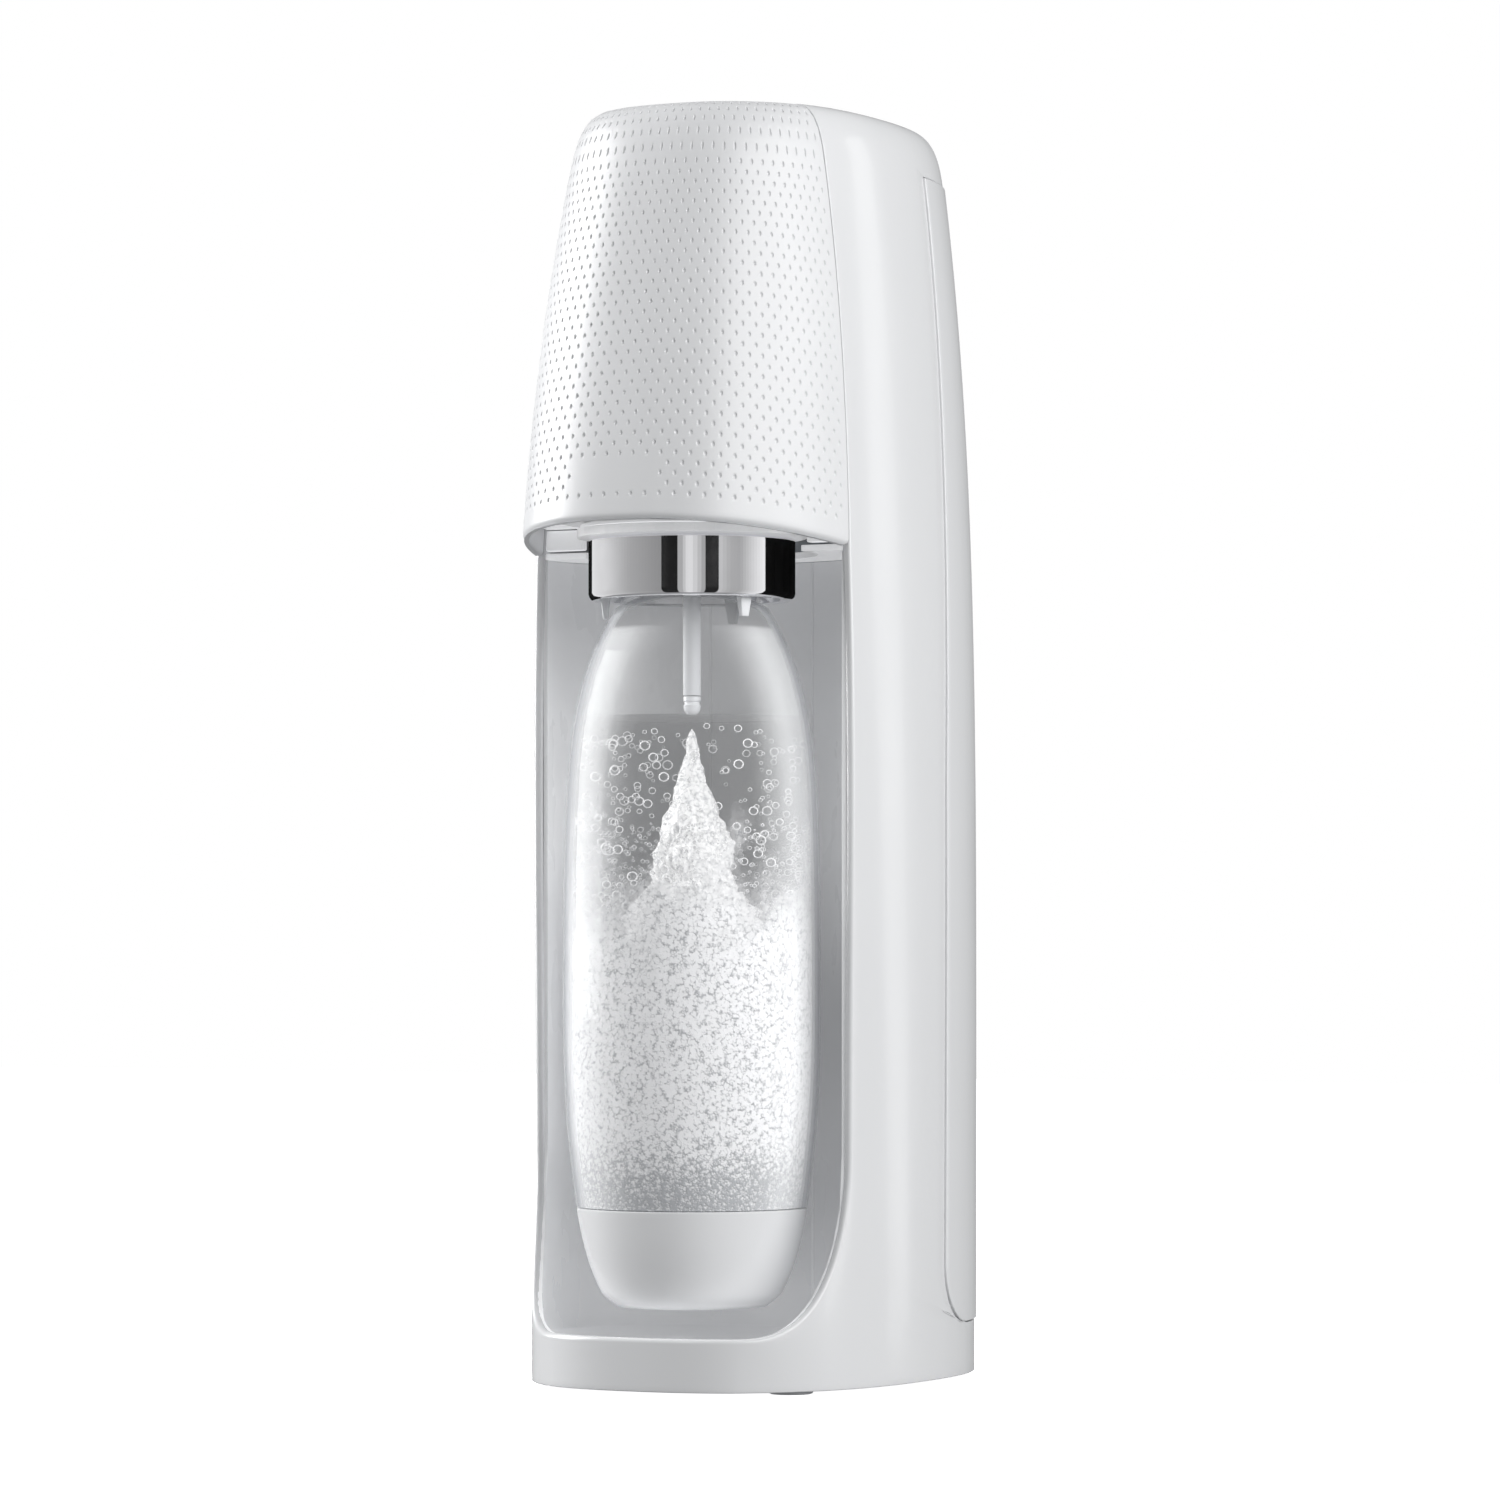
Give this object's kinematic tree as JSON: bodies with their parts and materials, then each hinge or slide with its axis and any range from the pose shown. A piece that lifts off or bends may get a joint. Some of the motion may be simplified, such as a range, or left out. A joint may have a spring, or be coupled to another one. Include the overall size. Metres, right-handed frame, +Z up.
{
  "type": "soda carbonator",
  "caption": "Tall white countertop soda carbonator with a dimpled press-down head, a tilting bottle holder, a clear bottle in an open niche and a gas cylinder behind a rear cover.",
  "frame": {"origin": "on the resting plane, under the middle of the whole object", "axes": "+Z up, -Y to the front where the bottle stands, +X to the user's right when facing the front"},
  "size_m": [0.1306, 0.188, 0.4247],
  "materials": {
    "case_white": "satin gloss moulded",
    "head_white": "satin with fine dimples",
    "cover_white": "satin gloss moulded",
    "inner_plastic": "moulded",
    "holder_white": "satin",
    "chrome": "polished",
    "bottle_clear": "clear polished",
    "bottle_white": "polished",
    "steel": "brushed",
    "brass": "machined",
    "cylinder_paint": "satin paint",
    "rubber": "matte"
  },
  "bodies": {
    "case": {"body_shell": "case_white", "niche_liner": "case_white", "niche_ceiling": "case_white", "head_floor": "case_white", "base_plate": "inner_plastic", "foot_front_left": "rubber", "foot_front_right": "rubber", "foot_rear_left": "rubber", "foot_rear_right": "rubber", "chassis": "inner_plastic", "bulkhead": "case_white", "valve_block": "steel", "valve_seal": "rubber", "relief_valve": "brass", "lever_axle": "steel", "cylinder_cradle": "inner_plastic", "gas_hose": "rubber", "hose_nut_valve": "brass", "hose_nut_pivot": "brass", "return_spring_left": "steel", "return_spring_right": "steel", "deck_screw_left": "steel", "deck_screw_right": "steel", "base_screw_left": "steel", "base_screw_right": "steel"},
    "press_head": {"press_head": "head_white", "press_bar": "inner_plastic"},
    "push_lever": {"push_lever": "inner_plastic"},
    "valve_pin": {"valve_pin": "steel"},
    "gas_cylinder": {"gas_cylinder": "cylinder_paint", "cylinder_valve": "brass"},
    "bottle_holder": {"holder_yoke": "holder_white", "tilt_axle": "steel", "snap_ring": "chrome", "lock_collar": "inner_plastic", "snap_claw_a": "inner_plastic", "snap_claw_b": "inner_plastic", "snap_claw_c": "inner_plastic", "carbonation_head": "holder_white", "bottle_seal": "rubber", "nozzle_tube": "holder_white", "nozzle_tip": "holder_white"},
    "bottle": {"bottle": "bottle_clear", "bottle_base": "bottle_white"},
    "drip_tray": {"drip_tray": "case_white"},
    "rear_cover": {"rear_cover": "cover_white"},
    "cover_button": {"cover_button": "cover_white"}
  },
  "joints": [
    {"name": "head_press", "type": "slide", "parent": "case", "child": "press_head", "axis": [0, -0.04, -0.9992], "range_m": [0, 0.008], "stiffness_N_per_m": 900, "springref_m": -0.004, "deforming": ["return_spring_left", "return_spring_right"]},
    {"name": "lever_swing", "type": "hinge", "parent": "case", "child": "push_lever", "pos_m": [0, 0.06685, 0.379], "axis": [1, 0, 0], "range_deg": [0, 4.1]},
    {"name": "pin_push", "type": "slide", "parent": "case", "child": "valve_pin", "axis": [0, 0, -1], "range_m": [0, 0.0012]},
    {"name": "cylinder_turn", "type": "hinge", "parent": "case", "child": "gas_cylinder", "pos_m": [0, 0.05085, 0.2], "axis": [0, 0, -1], "range_deg": [0, 360]},
    {"name": "holder_tilt", "type": "hinge", "parent": "case", "child": "bottle_holder", "pos_m": [0, -0.02915, 0.305], "axis": [-1, 0, 0], "range_deg": [0, 18]},
    {"name": "bottle_release", "type": "slide", "parent": "bottle_holder", "child": "bottle", "axis": [0, 0, -1], "range_m": [0, 0.005]},
    {"name": "tray_lift", "type": "slide", "parent": "case", "child": "drip_tray", "axis": [0, 0, 1], "range_m": [0, 0.005]},
    {"name": "cover_pull", "type": "slide", "parent": "case", "child": "rear_cover", "axis": [0, 1, 0], "range_m": [0, 0.06]},
    {"name": "button_press", "type": "slide", "parent": "rear_cover", "child": "cover_button", "axis": [0, -1, 0], "range_m": [0, 0.0025], "stiffness_N_per_m": 800, "springref_m": -0.002}
  ],
  "couplings": [
    {"joint": "lever_swing", "follows": "head_press", "rad_per_m": 8.658},
    {"joint": "pin_push", "follows": "head_press", "ratio": 0.13853}
  ]
}
